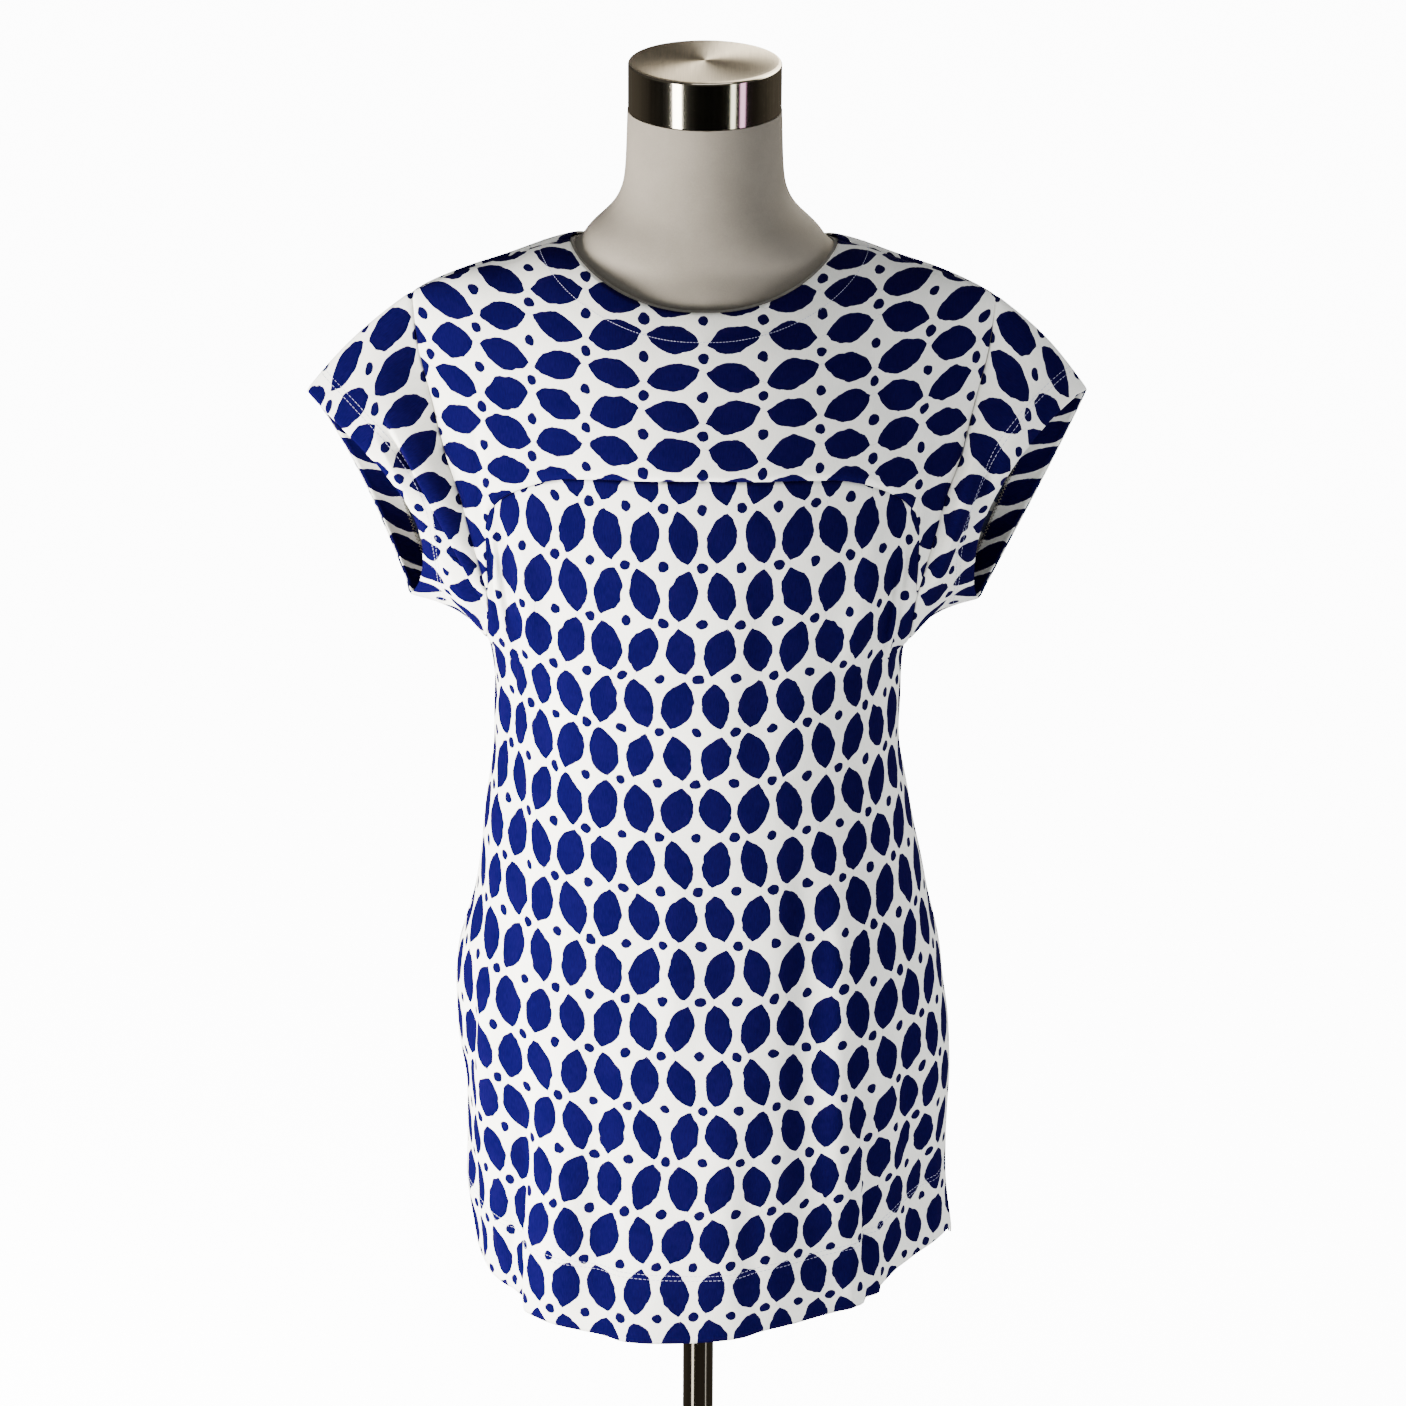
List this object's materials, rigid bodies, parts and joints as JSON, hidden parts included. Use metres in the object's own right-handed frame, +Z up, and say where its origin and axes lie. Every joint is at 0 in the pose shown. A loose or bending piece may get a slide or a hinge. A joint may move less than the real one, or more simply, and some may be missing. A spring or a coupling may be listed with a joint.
{
  "type": "t-shirt on dress form",
  "caption": "Printed cotton T-shirt with a round neck, a front yoke and short flared sleeves, worn by a limbless dress form on a steel pole with a round base.",
  "frame": {"origin": "on the floor, at the centre of the underside of the base", "axes": "+Z up along the pole, -Y towards the front of the shirt, +X to the right as seen from the front"},
  "size_m": [0.539, 0.3, 1.2],
  "materials": {
    "printed_cotton": "soft matte jersey, blue leaves on off-white",
    "facing_jersey": "soft matte grey jersey",
    "form_cover": "matte warm light grey",
    "polished_steel": "polished, slightly satin on flat faces"
  },
  "bodies": {
    "root": {"front_panel": "printed_cotton", "front_yoke": "printed_cotton", "back_panel": "printed_cotton", "sleeve_left": "printed_cotton", "sleeve_right": "printed_cotton", "neck_facing": "facing_jersey", "dress_form": "form_cover", "neck_cap": "polished_steel", "form_flange": "polished_steel", "pole": "polished_steel", "base_plate": "polished_steel"}
  },
  "joints": []
}
